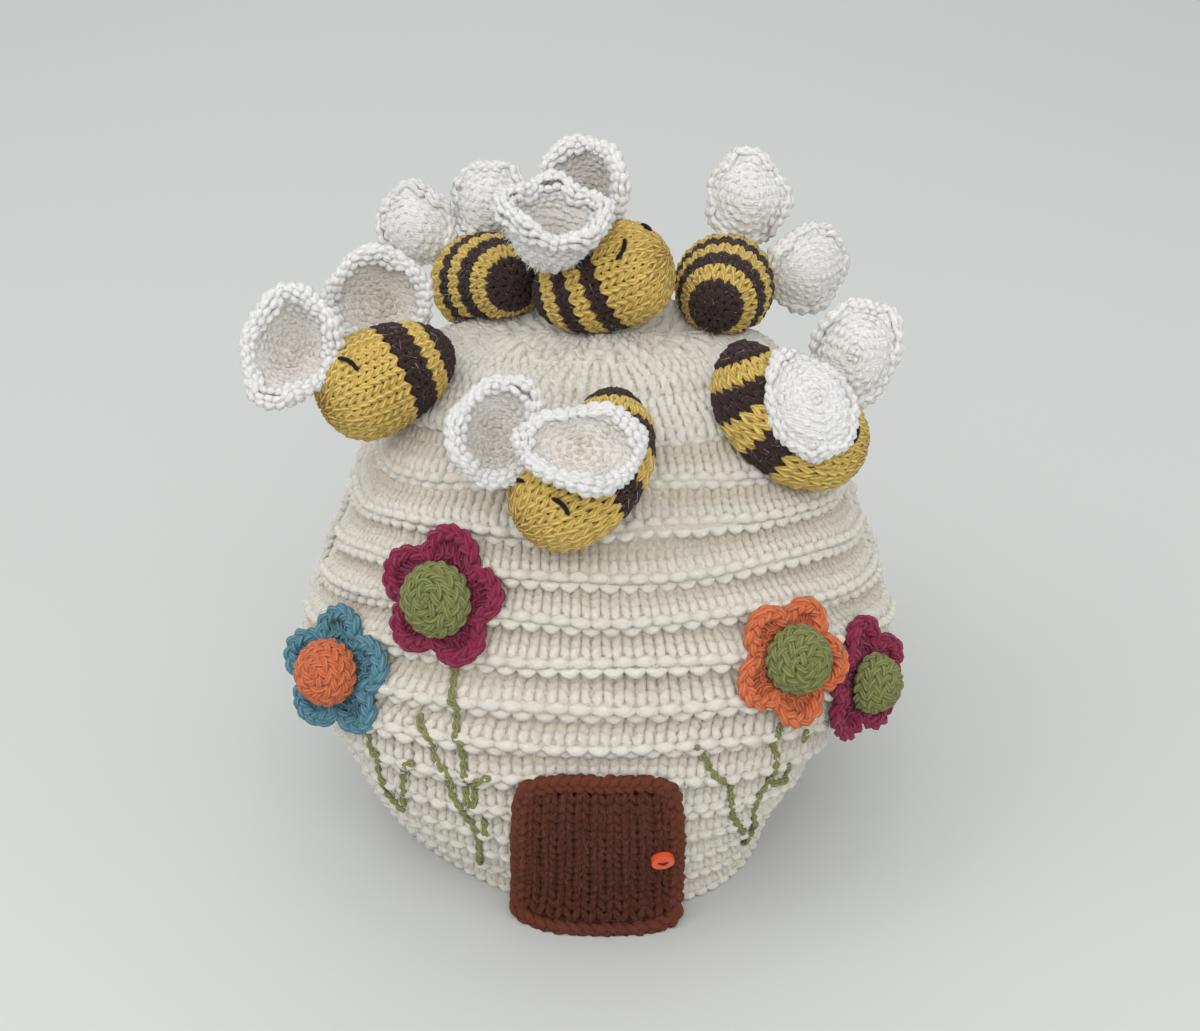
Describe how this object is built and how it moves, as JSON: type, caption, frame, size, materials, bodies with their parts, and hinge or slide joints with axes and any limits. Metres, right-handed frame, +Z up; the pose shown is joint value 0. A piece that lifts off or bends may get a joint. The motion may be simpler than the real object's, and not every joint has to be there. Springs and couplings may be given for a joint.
{
  "type": "knitted beehive tea cosy",
  "caption": "Knitted beehive tea cosy: a ridged cream hive with spout and handle slits, stuffed bees, crocheted flowers and a small door with a button.",
  "frame": {"origin": "middle of the footprint of the whole cosy, on the surface that its hem rests on", "axes": "+Z up; -Y towards the door; +X towards the handle slit, with the spout slit at -X"},
  "size_m": [0.1734, 0.16, 0.1946],
  "materials": {
    "cream_yarn": "matt knitted wool blend",
    "bee_yarn": "matt knitted yarn, yellow with dark brown stripes",
    "wing_yarn": "matt knitted yarn with a slight sparkle",
    "blue_yarn": "matt crocheted yarn",
    "magenta_yarn": "matt crocheted yarn",
    "orange_yarn": "crocheted cotton with a soft sheen",
    "green_yarn": "matt crocheted yarn",
    "brown_yarn": "matt knitted yarn",
    "button_plastic": "smooth plastic"
  },
  "bodies": {
    "root": {"cosy_cover": "cream_yarn", "bee_left": "bee_yarn", "bee_left_wing_a": "wing_yarn", "bee_left_wing_b": "wing_yarn", "bee_behind": "bee_yarn", "bee_behind_wing_a": "wing_yarn", "bee_behind_wing_b": "wing_yarn", "bee_top": "bee_yarn", "bee_top_wing_a": "wing_yarn", "bee_top_wing_b": "wing_yarn", "bee_right_back": "bee_yarn", "bee_right_back_wing_a": "wing_yarn", "bee_right_back_wing_b": "wing_yarn", "bee_right": "bee_yarn", "bee_right_wing_a": "wing_yarn", "bee_right_wing_b": "wing_yarn", "bee_front": "bee_yarn", "bee_front_wing_a": "wing_yarn", "bee_front_wing_b": "wing_yarn", "flower_blue_petals": "blue_yarn", "flower_blue_centre": "orange_yarn", "flower_magenta_petals": "magenta_yarn", "flower_magenta_centre": "green_yarn", "flower_purple_petals": "magenta_yarn", "flower_purple_centre": "green_yarn", "flower_orange_petals": "orange_yarn", "flower_orange_centre": "green_yarn", "door": "brown_yarn", "button": "button_plastic"}
  },
  "joints": []
}
